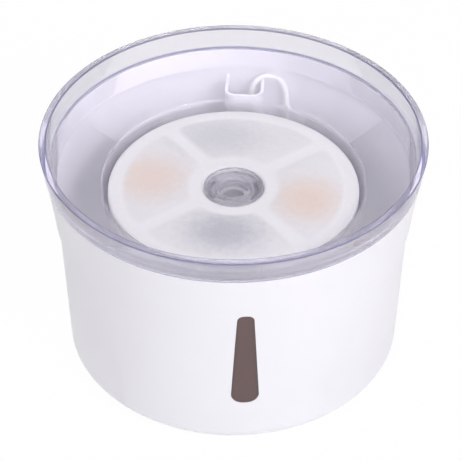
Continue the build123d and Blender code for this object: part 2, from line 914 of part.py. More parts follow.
for number, (cup_x, cup_y) in enumerate(cup_places, start=1):
    with BuildPart() as suction_cup:
        with BuildSketch(Plane(origin=(cup_x, cup_y, 0), x_dir=(1, 0, 0), z_dir=(0, -1, 0))):
            boss_low = pump_bottom - cup_boss_height
            with BuildLine():
                Polyline(
                    (0, tank_floor + cup_hollow),
                    (cup_radius - cup_lip, tank_floor),
                    (cup_radius, tank_floor),
                    (cup_radius, tank_floor + cup_lip),
                    (cup_neck_radius, boss_low),
                    (cup_stem_radius, boss_low),
                    (cup_stem_radius, pump_bottom - cup_fit),
                    (0, pump_bottom - cup_fit),
                    close=True,
                )
            make_face()
        revolve(axis=Axis((cup_x, cup_y, 0), (0, 0, 1)))
    save(suction_cup, f"suction_cup_{number}")

# ---------------------------------------------------------------- cable
entry_x = coil_centre_x + coil_outer - cord_radius
entry_z = coil_low + cord_radius
exit_x = coil_centre_x - coil_outer + cord_radius
exit_z = coil_low + coil_height - cord_radius
plug_axis = plug_height / 2

# From the pump up the back of the tank, over the conduit's side wall, down the conduit,
# out through the notch and along the table to the coil.
pump_cord_route = [
    (0, gland_tip, gland_height),
    (0, 61.2, gland_height),
    (8.5, 68.5, 25.0),
    (17.5, 74.6, 36.0),
    (22.4, 78.4, 50.5),
    (23.9, 82.0, 68.0),
    (24.1, 85.4, 88.0),
    (23.6, 87.8, 99.2),
    (20.0, 89.6, 104.6),
    (13.8, 90.3, 106.8),
    (7.6, 89.7, 104.9),
    (3.9, 87.8, 99.9),
    (3.4, 85.2, 88.4),
    (4.4, 83.0, 68.0),
    (3.5, 81.4, 47.0),
    (4.3, 80.3, 25.0),
    (4.0, 80.0, 2.9),
    (4.7, 99.5, 2.2),
    (6.8, 118.0, 1.5),
    (entry_x, coil_centre_y, entry_z),
]
# From the top of the coil down to the table and into the plug.
plug_cord_route = [
    (exit_x, coil_centre_y, exit_z),
    (-30.2, 126.0, 9.6),
    (-32.2, 115.6, 6.4),
    (-39.4, plug_start_y, plug_axis),
    (plug_start_x, plug_start_y, plug_axis),
]


def corner_radii(route):
    """Each corner's arc: a share of its shorter run, over the tangent of half its turn."""
    radii = []
    for before, corner, after in zip(route, route[1:], route[2:]):
        arriving = Vector(corner) - Vector(before)
        leaving = Vector(after) - Vector(corner)
        half_turn = radians(arriving.get_angle(leaving)) / 2
        radii.append(cord_arc_share * min(arriving.length, leaving.length) / tan(half_turn))
    return radii


for cord_name, route in (("pump_cord", pump_cord_route), ("plug_cord", plug_cord_route)):
    arc_radii = corner_radii(route)
    with BuildPart() as cord:
        with BuildLine() as path:
            FilletPolyline(*route, radius=arc_radii)
        centre_line = path.wires()[0]
        with BuildSketch(Plane(origin=centre_line @ 0, z_dir=centre_line % 0)):
            Circle(cord_radius)
        sweep(path=centre_line)
    save(cord, cord_name)
    filled = cord.part.volume / (pi * cord_radius**2 * centre_line.length)
    print(cord_name, "radii", [round(arc, 1) for arc in arc_radii])
    print(cord_name, "length", round(centre_line.length, 1), "share of its volume", round(filled, 4))

with BuildPart() as cable_gland:
    with BuildSketch(facing_back(pump_back + back_cover_thickness)):
        with Locations((0, gland_height)):
            Circle(gland_radius)
    with BuildSketch(facing_back(gland_tip)):
        with Locations((0, gland_height)):
            Circle(gland_tip_radius)
    loft()
save(cable_gland, "cable_gland")

coil_axis = Axis((coil_centre_x, coil_centre_y, 0), (0, 0, 1))
with BuildPart() as cord_coil:
    coil_plane = Plane(origin=(coil_centre_x, coil_centre_y, 0), x_dir=(1, 0, 0), z_dir=(0, -1, 0))
    with BuildSketch(coil_plane):
        with Locations((coil_mean_radius, coil_low + coil_height / 2)):
            RectangleRounded(coil_width, coil_height, coil_edge)
    revolve(axis=coil_axis)
save(cord_coil, "cord_coil")

with BuildPart() as coil_tie:
    with BuildSketch(coil_plane):
        with Locations((coil_mean_radius, coil_low + coil_height / 2)):
            hole_edge = coil_edge + tie_gap
            hole_width = coil_width + 2 * tie_gap
            hole_height = coil_height + 2 * tie_gap
            band = 2 * tie_thickness
            RectangleRounded(hole_width + band, hole_height + band, hole_edge + tie_thickness)
            RectangleRounded(hole_width, hole_height, hole_edge, mode=Mode.SUBTRACT)
    revolve(axis=coil_axis)
    with BuildSketch(Plane.XY):
        with Locations(Location((coil_centre_x, coil_centre_y, 0), (0, 0, tie_angle))):
            Rectangle(2 * coil_outer, tie_width, align=(Align.MIN, Align.CENTER))
    extrude(amount=2 * coil_height, mode=Mode.INTERSECT)
save(coil_tie, "coil_tie")

# ---------------------------------------------------------------- plug
def along_plug(distance):
    """A plane across the plug, at a distance from where the cable enters it."""
    origin = (plug_start_x - distance, plug_start_y, plug_axis)
    return Plane(origin=origin, x_dir=(0, 1, 0), z_dir=(-1, 0, 0))


with BuildPart() as plug_grip:
    with BuildSketch(along_plug(0)):
        Circle(relief_mouth_radius)
    with BuildSketch(along_plug(relief_length)):
        Circle(relief_radius)
    loft()
    with BuildSketch(along_plug(relief_length)):
        RectangleRounded(plug_width, plug_height, plug_corner)
    extrude(amount=plug_length)
save(plug_grip, "plug_grip")

with BuildPart() as plug_shell:
    with BuildSketch(along_plug(relief_length + plug_length)):
        RectangleRounded(shell_width, shell_height, 2 * shell_wall)
        RectangleRounded(
            shell_width - 2 * shell_wall,
            shell_height - 2 * shell_wall,
            shell_wall,
            mode=Mode.SUBTRACT,
        )
    extrude(amount=shell_length)
save(plug_shell, "plug_shell")

with BuildPart() as plug_tongue:
    with BuildSketch(along_plug(relief_length + plug_length)):
        tongue_inset = shell_wall + tongue_gap
        with Locations((0, shell_height / 2 - tongue_inset - tongue_thickness / 2)):
            Rectangle(shell_width - 2 * tongue_inset, tongue_thickness)
    extrude(amount=shell_length - tongue_short)
save(plug_tongue, "plug_tongue")
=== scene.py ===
import json
import math

import bmesh
import bpy
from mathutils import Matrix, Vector, noise

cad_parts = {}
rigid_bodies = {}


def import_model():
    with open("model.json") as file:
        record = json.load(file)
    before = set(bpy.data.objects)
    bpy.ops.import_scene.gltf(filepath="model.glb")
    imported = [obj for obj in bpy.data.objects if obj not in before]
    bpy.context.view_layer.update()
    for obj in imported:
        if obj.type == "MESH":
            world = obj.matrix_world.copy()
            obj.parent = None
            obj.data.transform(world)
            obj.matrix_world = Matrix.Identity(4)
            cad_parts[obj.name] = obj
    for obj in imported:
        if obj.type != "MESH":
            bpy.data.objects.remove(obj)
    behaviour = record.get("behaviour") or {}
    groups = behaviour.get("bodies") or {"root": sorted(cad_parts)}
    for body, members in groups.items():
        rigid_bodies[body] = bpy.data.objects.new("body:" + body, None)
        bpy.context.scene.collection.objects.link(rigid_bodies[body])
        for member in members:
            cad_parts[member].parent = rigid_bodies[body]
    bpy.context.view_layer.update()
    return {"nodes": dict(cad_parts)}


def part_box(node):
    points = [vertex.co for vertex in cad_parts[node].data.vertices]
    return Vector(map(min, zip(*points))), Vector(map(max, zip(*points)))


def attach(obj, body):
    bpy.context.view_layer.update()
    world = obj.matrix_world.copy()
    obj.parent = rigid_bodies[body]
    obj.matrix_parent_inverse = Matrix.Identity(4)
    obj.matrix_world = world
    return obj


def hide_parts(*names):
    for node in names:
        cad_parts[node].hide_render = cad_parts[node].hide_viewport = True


bpy.ops.object.select_all(action="SELECT")
bpy.ops.object.delete()
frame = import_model()
nodes = frame["nodes"]
scene = bpy.context.scene
bpy.ops.object.select_all(action="DESELECT")
print("frame loaded:", len(nodes), "nodes")

# camera, above and in front of the bowl
cameraView = {
    "place": (0.0506, -0.6780, 0.6577),
    "target": (-0.001544, -0.000119, 0.06846),
    "lens": 130.3,
    "sensor": 36.0,
    "nearest": 0.01,
    "farthest": 20.0,
}


def aimAt(place, target):
    # the turn that points a camera or a lamp from its place at its target
    return (Vector(target) - Vector(place)).to_track_quat("-Z", "Y").to_euler()


bpy.ops.object.camera_add(location=cameraView["place"])
camera = bpy.context.object
camera.rotation_euler = aimAt(cameraView["place"], cameraView["target"])
camera.data.lens = cameraView["lens"]
camera.data.sensor_width = cameraView["sensor"]
camera.data.clip_start = cameraView["nearest"]
camera.data.clip_end = cameraView["farthest"]
scene.camera = camera
scene.view_settings.view_transform = "Standard"
print("camera set")


class Wire:
    # one output of a node; sums, products and comparisons of wires add Math nodes
    def __init__(self, tree, socket=None):
        self.tree = tree
        self.socket = socket

    def node(self, kind, settings, values, out=0):
        made = self.tree.nodes.new(kind)
        for name, value in settings.items():
            setattr(made, name, value)
        for name, value in values.items():
            if isinstance(value, Wire):
                self.tree.links.new(value.socket, made.inputs[name])
            else:
                made.inputs[name].default_value = value
        return Wire(self.tree, made.outputs[out])

    def maths(self, operation, first, second):
        return self.node("ShaderNodeMath", {"operation": operation}, {0: first, 1: second})

    def __add__(self, other):
        return self.maths("ADD", self, other)

    def __sub__(self, other):
        return self.maths("SUBTRACT", self, other)

    def __rsub__(self, other):
        return self.maths("SUBTRACT", other, self)

    def __mul__(self, other):
        return self.maths("MULTIPLY", self, other)

    def __gt__(self, other):
        return self.maths("GREATER_THAN", self, other)

    __radd__ = __add__
    __rmul__ = __mul__


def startMaterial(name):
    material = bpy.data.materials.new(name)
    material.use_nodes = True
    material.node_tree.nodes.clear()
    return material, Wire(material.node_tree)


def finishMaterial(material, shader, volume=None):
    output = material.node_tree.nodes.new("ShaderNodeOutputMaterial")
    material.node_tree.links.new(shader.socket, output.inputs["Surface"])
    if volume is not None:
        material.node_tree.links.new(volume.socket, output.inputs["Volume"])
    return material


def blendColours(wire, factor, first, second):
    # the Mix node's inputs 0, 6 and 7 and its output 2 are the ones for colours
    values = {0: factor, 6: first, 7: second}
    return wire.node("ShaderNodeMix", {"data_type": "RGBA"}, values, out=2)


def blendShaders(wire, factor, first, second):
    return wire.node("ShaderNodeMixShader", {}, {0: factor, 1: first, 2: second})


def smoothRange(wire, value, low, high, first, last):
    # eases from first to last while the value goes from low to high
    values = {0: value, 1: low, 2: high, 3: first, 4: last}
    return wire.node("ShaderNodeMapRange", {"interpolation_type": "SMOOTHSTEP"}, values)


def objectCoords(wire):
    return wire.node("ShaderNodeTexCoord", {}, {}, out="Object")


def lengthOf(wire, vector):
    return wire.node("ShaderNodeVectorMath", {"operation": "LENGTH"}, {0: vector}, out="Value")


def heightOf(wire, vector):
    return wire.node("ShaderNodeSeparateXYZ", {}, {0: vector}, out="Z")


def noiseOn(wire, scale, detail=2.0, vector=None):
    values = {"Vector": vector or objectCoords(wire), "Scale": scale, "Detail": detail}
    return wire.node("ShaderNodeTexNoise", {}, values)


def bumpFrom(wire, height, strength, distance):
    values = {"Height": height, "Strength": strength, "Distance": distance}
    return wire.node("ShaderNodeBump", {}, values)


def colour(red, green, blue):
    # a colour as it looks on screen, turned into the shader's own scale
    def linear(value):
        value = value / 255.0
        return value / 12.92 if value <= 0.04045 else ((value + 0.055) / 1.055) ** 2.4

    return (linear(red), linear(green), linear(blue), 1.0)


def shaded(tint, factor, lift=0.0):
    # a darker or paler colour
    return tuple(min(1.0, channel * factor + lift) for channel in tint[:3]) + (1.0,)


def principled(wire, values):
    return wire.node("ShaderNodeBsdfPrincipled", {}, values)


def dress(name, material):
    # gives a CAD node one material
    slots = nodes[name].material_slots
    for slot in slots:
        slot.material = material
    if not slots:
        nodes[name].data.materials.append(material)


def newPiece(name, data):
    piece = bpy.data.objects.new(name, data)
    scene.collection.objects.link(piece)
    return piece


def pick(*pieces):
    # selects only these pieces and makes the first one active
    bpy.ops.object.select_all(action="DESELECT")
    for piece in pieces:
        piece.select_set(True)
    bpy.context.view_layer.objects.active = pieces[0]


def bevelEdges(piece, isChosen, offset, segments):
    # rounds the edges of the active piece that pass a test
    bpy.ops.object.mode_set(mode="EDIT")
    bpy.ops.mesh.select_all(action="DESELECT")
    editMesh = bmesh.from_edit_mesh(piece.data)
    for edge in editMesh.edges:
        edge.select_set(isChosen(edge))
    bmesh.update_edit_mesh(piece.data)
    bpy.ops.mesh.bevel(offset=offset, segments=segments)
    bpy.ops.object.mode_set(mode="OBJECT")


def runOf(edge):
    return edge.verts[0].co - edge.verts[1].co


# cable: one soft white lead from the pump's gland to its plug
cable = {
    "diameter": 0.0028,
    "pumpSide": [
        (0, 50.2, 20),
        (0, 61.2, 20),
        (8.5, 68.5, 25.0),
        (17.5, 74.6, 36.0),
        (22.4, 78.4, 50.5),
        (23.9, 82.0, 68.0),
        (24.1, 85.4, 88.0),
        (23.6, 87.8, 99.2),
        (20.0, 89.6, 104.6),
        (13.8, 90.3, 106.8),
        (7.6, 89.7, 104.9),
        (3.9, 87.8, 99.9),
        (3.4, 85.2, 88.4),
        (4.4, 83.0, 68.0),
        (3.5, 81.4, 47.0),
        (4.3, 80.3, 25.0),
        (4.0, 80.0, 2.9),
        (4.7, 99.5, 2.2),
        (6.8, 118.0, 1.5),
    ],
    "plugSide": [
        (-30.2, 126.0, 10.5),
        (-32.2, 115.6, 6.4),
        (-39.4, 107.5, 3.7),
        (-50.0, 107.5, 3.7),
    ],
    "coilCentre": (-11.0, 138.0),
    "coilRadius": 16.2,
    "coilStep": 2.8,
    "coilLow": 2.3,
    "layerTurns": 3,
    "turnPoints": 16,
    "allTurns": 11.5,
    "shiftFrom": 0.78,
    "shiftTo": 0.95,
    "bulge": 1.2,
    "roundness": 4,
    "smoothness": 4,
}


def coilPoint(turns):
    # where the cable is after so many turns; its layers are wound inwards and outwards by turns
    step = cable["coilStep"]
    places = []
    for turn in range(math.ceil(cable["allTurns"]) + 1):
        layer, inLayer = divmod(turn, cable["layerTurns"])
        column = 1 - inLayer if layer % 2 == 0 else inLayer - 1
        places.append((cable["coilRadius"] + step * column, cable["coilLow"] + step * layer))
    done = int(turns)
    share = (turns - done - cable["shiftFrom"]) / (cable["shiftTo"] - cable["shiftFrom"])
    share = min(max(share, 0.0), 1.0)
    radius, height = places[done]
    nextRadius, nextHeight = places[done + 1]
    radius += (nextRadius - radius) * share
    height += (nextHeight - height) * share
    if nextHeight > places[done][1]:
        outward = 1 if radius > cable["coilRadius"] else -1
        radius += outward * cable["bulge"] * math.sin(math.pi * share)
    radius /= math.cos(math.pi / cable["turnPoints"])
    angle = 2 * math.pi * turns
    centreX, centreY = cable["coilCentre"]
    return (centreX + radius * math.cos(angle), centreY + radius * math.sin(angle), height)


coilCount = int(cable["allTurns"] * cable["turnPoints"])
coilPoints = [coilPoint(index / cable["turnPoints"]) for index in range(coilCount + 1)]
routePoints = cable["pumpSide"] + coilPoints + cable["plugSide"]
cordCurve = bpy.data.curves.new("pumpCable", "CURVE")
cordCurve.dimensions = "3D"
cordCurve.bevel_depth = 1.0
cordCurve.bevel_resolution = cable["roundness"]
cordCurve.resolution_u = cable["smoothness"]
cordCurve.use_fill_caps = True
cordSpline = cordCurve.splines.new("NURBS")
cordSpline.points.add(len(routePoints) - 1)
for point, (x, y, z) in zip(cordSpline.points, routePoints):
    point.co = (x / 1000, y / 1000, z / 1000, 1.0)
    point.radius = cable["diameter"] / 2
cordSpline.order_u = 3
cordSpline.use_endpoint_u = True
pumpCable = newPiece("pumpCable", cordCurve)
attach(pumpCable, "tank")
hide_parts("pump_cord", "cord_coil", "plug_cord")
print("cable laid:", len(routePoints), "points")

# drinking tray: one clear moulding, turned from its section, then slotted
tray = {
    "steps": 960,
    "arcSteps": 5,
    "section": [
        (10.05, 88.0, 0),
        (13.05, 88.0, 0.4),
        (13.05, 91.8, 0.4),
        (68.9, 91.8, 1.6),
        (68.9, 102.9, 1.6),
        (94.19, 109.22, 0.8),
        (95.5, 120.53, 0),
        (98.2, 120.53, 0.3),
        (100.0, 134.0, 0.6),
        (96.2, 134.0, 0.6),
        (91.69, 110.8, 0.6),
        (69.3, 105.2, 1.0),
        (66.7, 94.0, 1.6),
        (10.05, 94.0, 0),
    ],
    "mergeWithin": 0.000002,
    "smoothBelow": 30.0,
    "drains": [(54.0, 16, 16.0), (32.0, 12, 10.0)],
    "drainWidth": 2.5,
    "drainHeights": (91.0, 95.0),
    "lugSlot": (11.0, 2, 6.6),
    "lugSlotWidth": 2.4,
    "lugSlotAngle": 30.0,
    "lugSlotHeights": (87.0, 95.0),
    "slotRounding": 0.48,
    "slotSegments": 4,
}


def roundedSection(corners, arcSteps):
    # a closed section in millimetres with its corners rounded, as points in metres
    section = []
    for index, (reach, height, radius) in enumerate(corners):
        here = Vector((reach, height))
        toLast = (Vector(corners[index - 1][:2]) - here).normalized()
        toNext = (Vector(corners[(index + 1) % len(corners)][:2]) - here).normalized()
        if radius == 0:
            section.append((reach / 1000, 0, height / 1000))
            continue
        half = toLast.angle(toNext) / 2
        middle = here + (toLast + toNext).normalized() * radius / math.sin(half)
        start = here + toLast * radius / math.tan(half) - middle
        end = here + toNext * radius / math.tan(half) - middle
        for step in range(arcSteps + 1):
            arm = start.lerp(end, step / arcSteps).normalized() * radius
            section.append(((middle.x + arm.x) / 1000, 0, (middle.y + arm.y) / 1000))
    return section


def turned(name, corners, arcSteps, steps, mergeWithin):
    # a ring turned from its section about the upright axis
    section = roundedSection(corners, arcSteps)
    mesh = bpy.data.meshes.new(name)
    edges = [(index, (index + 1) % len(section)) for index in range(len(section))]
    mesh.from_pydata(section, edges, [])
    piece = newPiece(name, mesh)
    pick(piece)
    bpy.ops.object.mode_set(mode="EDIT")
    bpy.ops.mesh.select_all(action="SELECT")
    bpy.ops.mesh.spin(steps=steps, angle=2 * math.pi, center=(0, 0, 0), axis=(0, 0, 1))
    bpy.ops.mesh.select_all(action="SELECT")
    bpy.ops.mesh.remove_doubles(threshold=mergeWithin)
    bpy.ops.mesh.normals_make_consistent(inside=False)
    bpy.ops.object.mode_set(mode="OBJECT")
    return piece


def slotCutters(ring, wide, firstAngle, heights):
    # rounded upright bars in a ring, each as long as its slot along its own spoke
    reach, count, long = ring
    low, high = heights
    cutters = []
    for index in range(count):
        angle = firstAngle + 2 * math.pi * index / count
        place = (reach * math.cos(angle) / 1000, reach * math.sin(angle) / 1000, (low + high) / 2000)
        size = (long / 1000, wide / 1000, (high - low) / 1000)
        bpy.ops.mesh.primitive_cube_add(size=1, location=place, rotation=(0, 0, angle), scale=size)
        cutter = bpy.context.object
        bpy.ops.object.transform_apply(location=False, rotation=False, scale=True)
        rounding = tray["slotRounding"] * wide / 1000
        bevelEdges(cutter, lambda edge: abs(runOf(edge).z) > size[2] / 2, rounding, tray["slotSegments"])
        cutters.append(cutter)
    return cutters


def cutAway(piece, cutters):
    # joins the cutters and takes them out of the piece
    pick(*cutters)
    bpy.ops.object.join()
    joined = bpy.context.object
    pick(piece)
    taking = piece.modifiers.new("taking", "BOOLEAN")
    taking.operation = "DIFFERENCE"
    taking.solver = "EXACT"
    taking.object = joined
    bpy.ops.object.modifier_apply(modifier=taking.name)
    bpy.data.objects.remove(joined)


clearTray = turned("clearTray", tray["section"], tray["arcSteps"], tray["steps"], tray["mergeWithin"])
trayCutters = []
for ring in tray["drains"]:
    trayCutters += slotCutters(ring, tray["drainWidth"], 0.0, tray["drainHeights"])
lugAngle = math.radians(tray["lugSlotAngle"])
trayCutters += slotCutters(tray["lugSlot"], tray["lugSlotWidth"], lugAngle, tray["lugSlotHeights"])
cutAway(clearTray, trayCutters)
bpy.ops.object.shade_smooth_by_angle(angle=math.radians(tray["smoothBelow"]))
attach(clearTray, "tray")
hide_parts("drinking_tray")
print("tray turned:", len(clearTray.data.polygons), "faces")

# filter disc: a fleece pad, welded at its rim, round its hole and along four spokes
pad = {
    "rim": 66.2,
    "hole": 16.4,
    "shadeRun": 2.5,
    "pocketFrom": 23.0,
    "pocketTo": 59.2,
    "spokeHalf": 2.5,
    "spokeAngle": 40.4,
    "cornerSoft": 1.6,
    "bottom": 95.0,
    "weldTop": 99.45,
    "puff": 0.8,
    "puffRun": 8.0,
    "edgeRound": 0.9,
    "edgeDrop": 0.5,
    "sheet": 0.5,
    "hollowRun": 1.2,
    "wrinkle": 0.22,
    "wrinkleOnWeld": 0.25,
    "wrinkleSize": 7.0,
    "finerWrinkle": 2.3,
    "baseLow": 94.2,
    "basePress": 0.3,
    "baseWrinkle": 0.15,
    "baseNoiseLevel": 9.0,
    "rings": 50,
    "steps": 240,
}


def pocketDepth(x, y):
    # how far a point lies inside its pocket, with soft corners; below nought on a weld
    turn = math.radians(pad["spokeAngle"])
    reach = math.hypot(x, y)
    walls = (
        reach - pad["pocketFrom"],
        pad["pocketTo"] - reach,
        abs(x * math.cos(turn) + y * math.sin(turn)) - pad["spokeHalf"],
        abs(y * math.cos(turn) - x * math.sin(turn)) - pad["spokeHalf"],
    )
    soft = pad["cornerSoft"]
    return -soft * math.log(sum(math.exp(-wall / soft) for wall in walls))


def shareOf(value, whole):
    # how much of the whole a value makes, from nought to one
    return min(max(value / whole, 0.0), 1.0)


def padHeights(x, y):
    # top and underside of the top fleece, and how much its pocket shows
    depth = pocketDepth(x, y)
    full = 1.0 - (1.0 - shareOf(depth, pad["puffRun"])) ** 2
    edge = min(math.hypot(x, y) - pad["hole"], pad["rim"] - math.hypot(x, y))
    paintedShadeShare = max(1.0 - edge / pad["edgeRound"], 0.0)
    place = Vector((x, y, 0.0)) / pad["wrinkleSize"]
    crease = noise.noise(place) + noise.noise(place * pad["finerWrinkle"]) / 2
    top = pad["weldTop"] + pad["puff"] * full
    top += pad["wrinkle"] * crease * (pad["wrinkleOnWeld"] + full)
    top -= pad["edgeDrop"] * paintedShadeShare**2
    hollow = shareOf(depth + pad["hollowRun"], 1.0)
    under = pad["bottom"] + (top - pad["sheet"] - pad["bottom"]) * hollow
    return top, under, shareOf(depth, pad["shadeRun"])


def baseHeights(x, y):
    # top and underside of the bottom fleece: its welds are pressed up a little
    depth = pocketDepth(x, y)
    flat = 1.0 - shareOf(depth, pad["puffRun"])
    crease = noise.noise(Vector((x, y, pad["baseNoiseLevel"])) / pad["wrinkleSize"])
    under = pad["baseLow"] + pad["basePress"] * flat**2 + pad["baseWrinkle"] * abs(crease)
    return pad["bottom"], under, shareOf(depth, pad["shadeRun"])


def quilted(name, heights):
    # a ring of fleece between its two surfaces; the layer named filled holds where its pockets are
    ringMesh = bmesh.new()
    filled = ringMesh.verts.layers.float.new("filled")
    loops = []
    for side in (0, 1):
        for ring in range(pad["rings"] + 1):
            reach = pad["hole"] + (pad["rim"] - pad["hole"]) * ring / pad["rings"]
            loop = []
            for step in range(pad["steps"]):
                angle = 2 * math.pi * step / pad["steps"]
                x, y = reach * math.cos(angle), reach * math.sin(angle)
                levels = heights(x, y)
                vertex = ringMesh.verts.new((x / 1000, y / 1000, levels[side] / 1000))
                vertex[filled] = levels[2]
                loop.append(vertex)
            loops.append(loop)
    tops, unders = loops[: pad["rings"] + 1], loops[pad["rings"] + 1 :]
    around = tops + unders[::-1] + tops[:1]
    for inner, outer in zip(around, around[1:]):
        for step in range(pad["steps"]):
            after = (step + 1) % pad["steps"]
            ringMesh.faces.new((inner[step], outer[step], outer[after], inner[after]))
    bmesh.ops.recalc_face_normals(ringMesh, faces=ringMesh.faces)
    mesh = bpy.data.meshes.new(name)
    ringMesh.to_mesh(mesh)
    ringMesh.free()
    mesh.shade_smooth()
    return newPiece(name, mesh)


filterPad = quilted("filterPad", padHeights)
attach(filterPad, "filter")
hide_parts("filter_top_fleece")
filterBase = quilted("filterBase", baseHeights)
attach(filterBase, "filter")
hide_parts("filter_bottom_fleece")
print("filter fleeces quilted:", len(filterPad.data.polygons), "faces each")

# intake sponge: a block of open foam behind the pump's intake cover
sponge = {
    "corner": 0.0042,
    "edge": 0.0009,
    "segments": 4,
    "longEdge": 0.9,
    "sharpEdge": 1.0,
    "voxel": 0.0006,
    "pores": 900.0,
    "poreDepth": 0.00035,
}

lowCorner, highCorner = (Vector(corner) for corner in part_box("intake_sponge"))
bpy.ops.object.select_all(action="DESELECT")
spongeSize = highCorner - lowCorner
bpy.ops.mesh.primitive_cube_add(size=1, location=(lowCorner + highCorner) / 2, scale=spongeSize)
spongeBlock = bpy.context.object
spongeBlock.name = "spongeBlock"
bpy.ops.object.transform_apply()


def isLong(edge):
    return abs(runOf(edge).y) > sponge["longEdge"] * spongeSize.y


def isSharpEnd(edge):
    return not isLong(edge) and edge.calc_face_angle(0.0) > sponge["sharpEdge"]


bevelEdges(spongeBlock, isLong, sponge["corner"], sponge["segments"])
bevelEdges(spongeBlock, isSharpEnd, sponge["edge"], sponge["segments"])
finer = spongeBlock.modifiers.new("finer", "REMESH")
finer.mode = "VOXEL"
finer.voxel_size = sponge["voxel"]
bpy.ops.object.modifier_apply(modifier=finer.name)
for vertex in spongeBlock.data.vertices:
    hollow = (noise.noise(vertex.co * sponge["pores"]) + 1.0) / 2
    vertex.co -= vertex.normal * sponge["poreDepth"] * hollow
bpy.ops.object.shade_smooth()
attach(spongeBlock, "tank")
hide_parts("intake_sponge")
print("sponge cut:", len(spongeBlock.data.polygons), "faces")


# injection-moulded plastic: faint mottling and a fine satin grain
plasticLook = {
    "cloud": 18.0,
    "grainDetail": 3.0,
    "darker": 0.95,
    "glossSpread": 0.10,
    "grainStrength": 0.15,
    "bend": 1.5,
}


def moulded(name, tint, roughness, grain, depth):
    look = plasticLook
    material, wire = startMaterial(name)
    cloud = noiseOn(wire, look["cloud"])
    fine = noiseOn(wire, grain, look["grainDetail"])
    values = {
        "Base Color": blendColours(wire, cloud, tint, shaded(tint, look["darker"])),
        "Roughness": cloud * look["glossSpread"] + (roughness - look["glossSpread"] / 2),
        "Normal": bumpFrom(wire, fine, look["grainStrength"], depth),
        "IOR": look["bend"],
    }
    return finishMaterial(material, principled(wire, values))


# soft rubber or silicone: dusty, with a dull sheen
rubberLook = {
    "dust": 240.0,
    "dustDetail": 4.0,
    "paler": 1.12,
    "lift": 0.01,
    "glossSpread": 0.2,
    "dustStrength": 0.2,
    "dustDepth": 0.0002,
    "sheen": 0.15,
}


def rubbery(name, tint, roughness):
    look = rubberLook
    material, wire = startMaterial(name)
    dust = noiseOn(wire, look["dust"], look["dustDetail"])
    paler = shaded(tint, look["paler"], look["lift"])
    values = {
        "Base Color": blendColours(wire, dust, tint, paler),
        "Roughness": dust * look["glossSpread"] + (roughness - look["glossSpread"] / 2),
        "Normal": bumpFrom(wire, dust, look["dustStrength"], look["dustDepth"]),
        "Sheen Weight": look["sheen"],
    }
    return finishMaterial(material, principled(wire, values))


# open foam: painted shade darkens the pores between matt walls
foamLook = {
    # painted shade: how dark the pores are drawn
    "darker": 0.3,
    "roughness": 0.95,
    "cellStrength": 0.6,
    "cellDepth": 0.0004,
    "sheen": 0.1,
}


def foam(name, tint, cells):
    look = foamLook
    material, wire = startMaterial(name)
    values = {"Vector": objectCoords(wire), "Scale": cells}
    walls = wire.node("ShaderNodeTexVoronoi", {}, values, out="Distance")
    values = {
        # painted shade: the pores are coloured darker than the walls, where shade falls in them
        "Base Color": blendColours(wire, walls, shaded(tint, look["darker"]), tint),
        "Roughness": look["roughness"],
        "Normal": bumpFrom(wire, walls, look["cellStrength"], look["cellDepth"]),
        "Sheen Weight": look["sheen"],
    }
    return finishMaterial(material, principled(wire, values))


# brushed or ground metal: fine streaks along one way
metalLook = {
    "streakDetail": 4.0,
    "duller": 0.75,
    "glossSpread": 0.25,
    "streakStrength": 0.1,
    "streakDepth": 0.0001,
}


def metal(name, tint, roughness, grain):
    look = metalLook
    material, wire = startMaterial(name)
    stretched = wire.node("ShaderNodeMapping", {}, {"Vector": objectCoords(wire), "Scale": grain})
    streaks = noiseOn(wire, 1.0, look["streakDetail"], stretched)
    values = {
        "Base Color": blendColours(wire, streaks, tint, shaded(tint, look["duller"])),
        "Roughness": streaks * look["glossSpread"] + roughness,
        "Metallic": 1.0,
        "Normal": bumpFrom(wire, streaks, look["streakStrength"], look["streakDepth"]),
    }
    return finishMaterial(material, principled(wire, values))


def paintedShadeLines(wire, look, coords, reach):
    # how much painted shade a point gets: dark lines, standing in for what refraction shows, on the
    # rim's two rounded edges or on the band's lower lip
    height = heightOf(wire, coords)
    aside = wire.node("ShaderNodeMath", {"operation": "ABSOLUTE"}, {0: reach - look["edgeMiddle"]})
    upper = smoothRange(wire, height, look["edgeLow"], look["edgeHigh"], 0.0, look["paintedShadeShare"])
    sides = smoothRange(wire, aside, look["edgeIn"], look["edgeOut"], 0.0, 1.0)
    lower = smoothRange(wire, height, look["lipLow"], look["lipHigh"], look["paintedShadeShare"], 0.0)
    return upper * sides + lower * (reach > look["lipFrom"])


